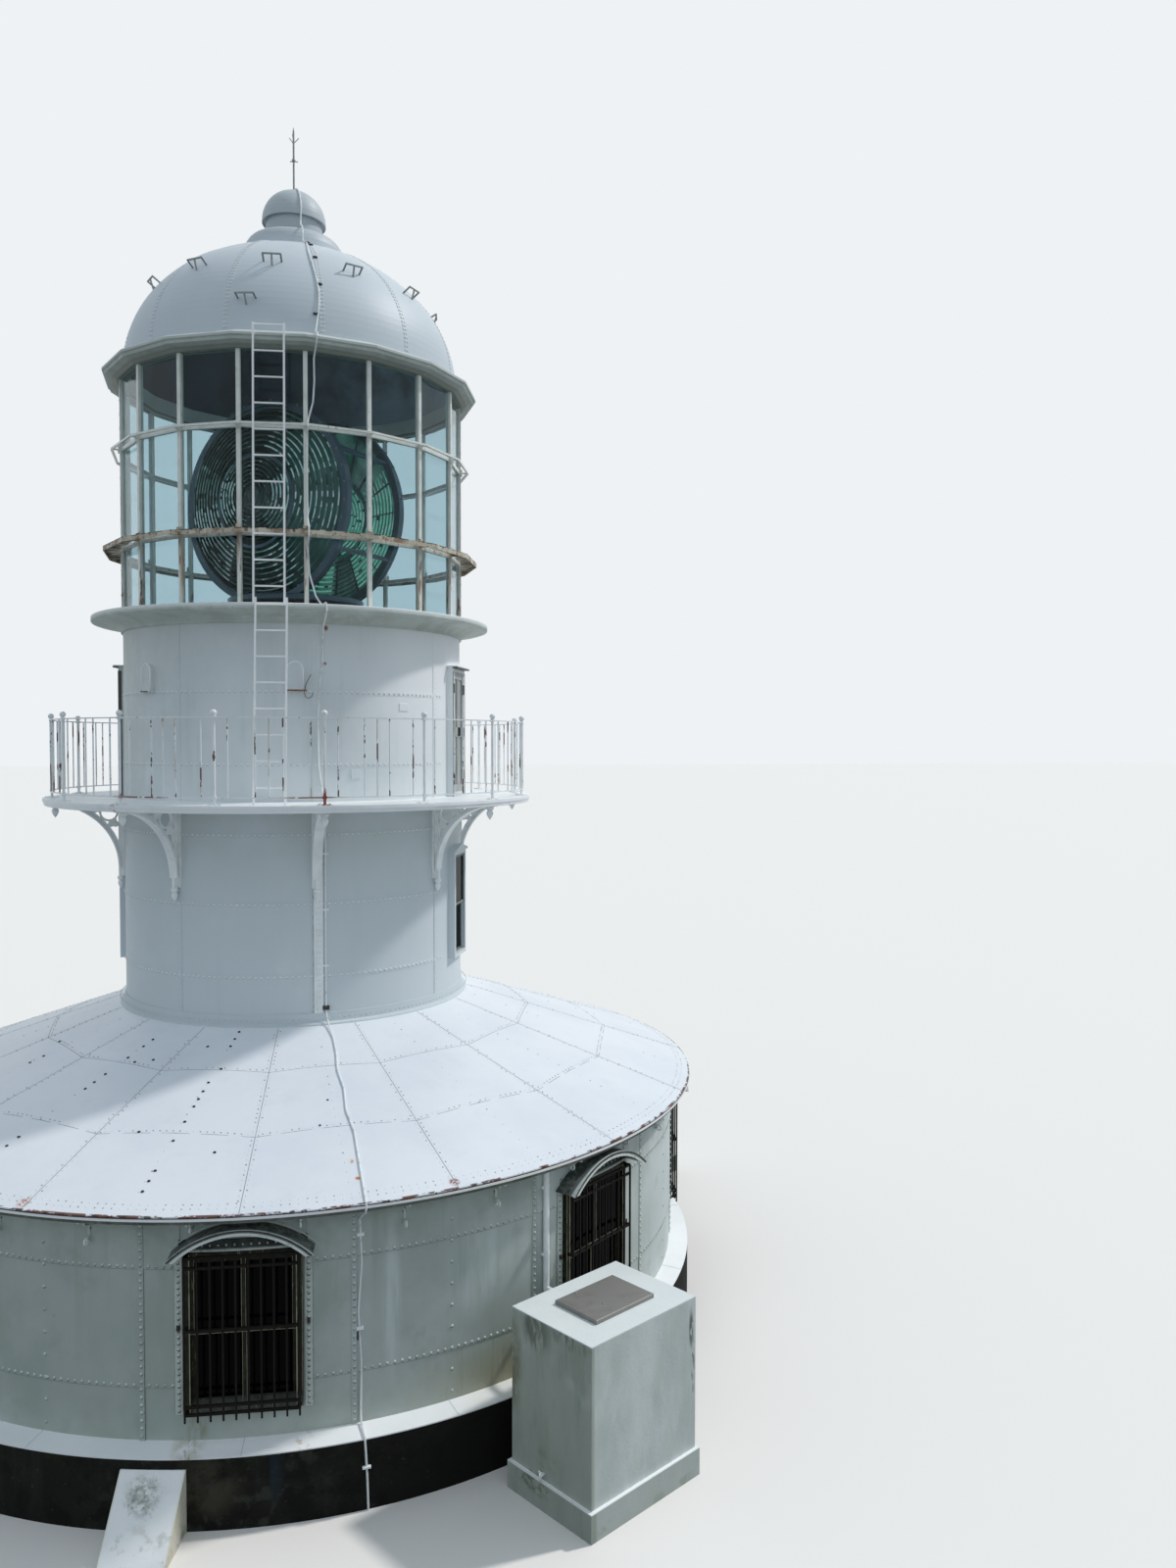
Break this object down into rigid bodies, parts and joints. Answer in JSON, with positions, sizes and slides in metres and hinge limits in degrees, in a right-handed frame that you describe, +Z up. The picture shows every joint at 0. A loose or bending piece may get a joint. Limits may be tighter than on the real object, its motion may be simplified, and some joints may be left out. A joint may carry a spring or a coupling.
{
  "type": "lighthouse",
  "caption": "Round iron lighthouse: a low house with a cone roof, a tower with a gallery on cast brackets, a glazed lantern with a turning lens, and a dome.",
  "frame": {"origin": "on the tower's axis, on the underside of the round masonry base at ground level", "axes": "+Z up, -Y towards the side that the picture shows, +X to that view's right"},
  "size_m": [12.1681, 13.0829, 16.2718],
  "materials": {
    "stained_concrete": "rough",
    "white_render": "matt",
    "white_iron": "satin",
    "roof_iron": "satin",
    "cast_iron_white": "satin",
    "rusty_iron": "rough",
    "window_paint": "satin",
    "grille_iron": "rough",
    "grey_door_paint": "satin",
    "floor_iron": "rough",
    "dark_lining": "matt",
    "galvanised": "satin",
    "window_glass": "smooth",
    "lantern_pane": "smooth",
    "lens_glass": "smooth",
    "lens_iron": "satin",
    "cable_sheath": "matt"
  },
  "bodies": {
    "root": {"base": "stained_concrete", "ledge": "white_iron", "house_wall_front": "white_iron", "house_wall_right": "white_iron", "house_wall_back": "white_iron", "house_wall_left": "white_iron", "house_window_frames": "window_paint", "house_sashes": "window_paint", "house_glass": "window_glass", "window_grilles": "grille_iron", "window_hoods": "white_iron", "house_door": "window_paint", "house_steps": "stained_concrete", "eave_ring": "white_iron", "eave_brackets": "white_iron", "cone_roof": "roof_iron", "roof_curb": "white_iron", "tower_wall": "white_iron", "tower_window_frames": "white_iron", "tower_sashes": "white_iron", "tower_glass": "window_glass", "gallery_brackets": "cast_iron_white", "gallery_deck": "white_iron", "gallery_rim": "white_iron", "railing_posts": "cast_iron_white", "railing_rails": "cast_iron_white", "railing_balusters": "cast_iron_white", "watch_wall": "white_iron", "gallery_door_frames": "white_iron", "gallery_doors": "grey_door_paint", "wall_vents": "white_iron", "cornice": "white_iron", "lantern_floor": "floor_iron", "lantern_sill": "white_iron", "lantern_mullions": "white_iron", "lantern_transoms": "white_iron", "lantern_glass": "lantern_pane", "catwalk": "rusty_iron", "lantern_handrail": "cast_iron_white", "lantern_eave": "white_iron", "dome": "white_iron", "dome_lining": "dark_lining", "ventilator": "white_iron", "lightning_rod": "galvanised", "dome_handholds": "galvanised", "ladders": "cast_iron_white", "conductor": "cable_sheath", "downpipes": "white_iron", "water_tanks": "white_render", "sloping_block": "white_render", "lens_pedestal": "lens_iron"},
    "lens": {"lens_table": "lens_iron", "lens_frame": "lens_iron", "lens_ties": "lens_iron", "lens_prisms": "lens_glass"}
  },
  "joints": [
    {"name": "lens_turn", "type": "hinge", "parent": "root", "child": "lens", "pos_m": [0, 0, 9.69], "axis": [0, 0, 1], "continuous": true}
  ]
}
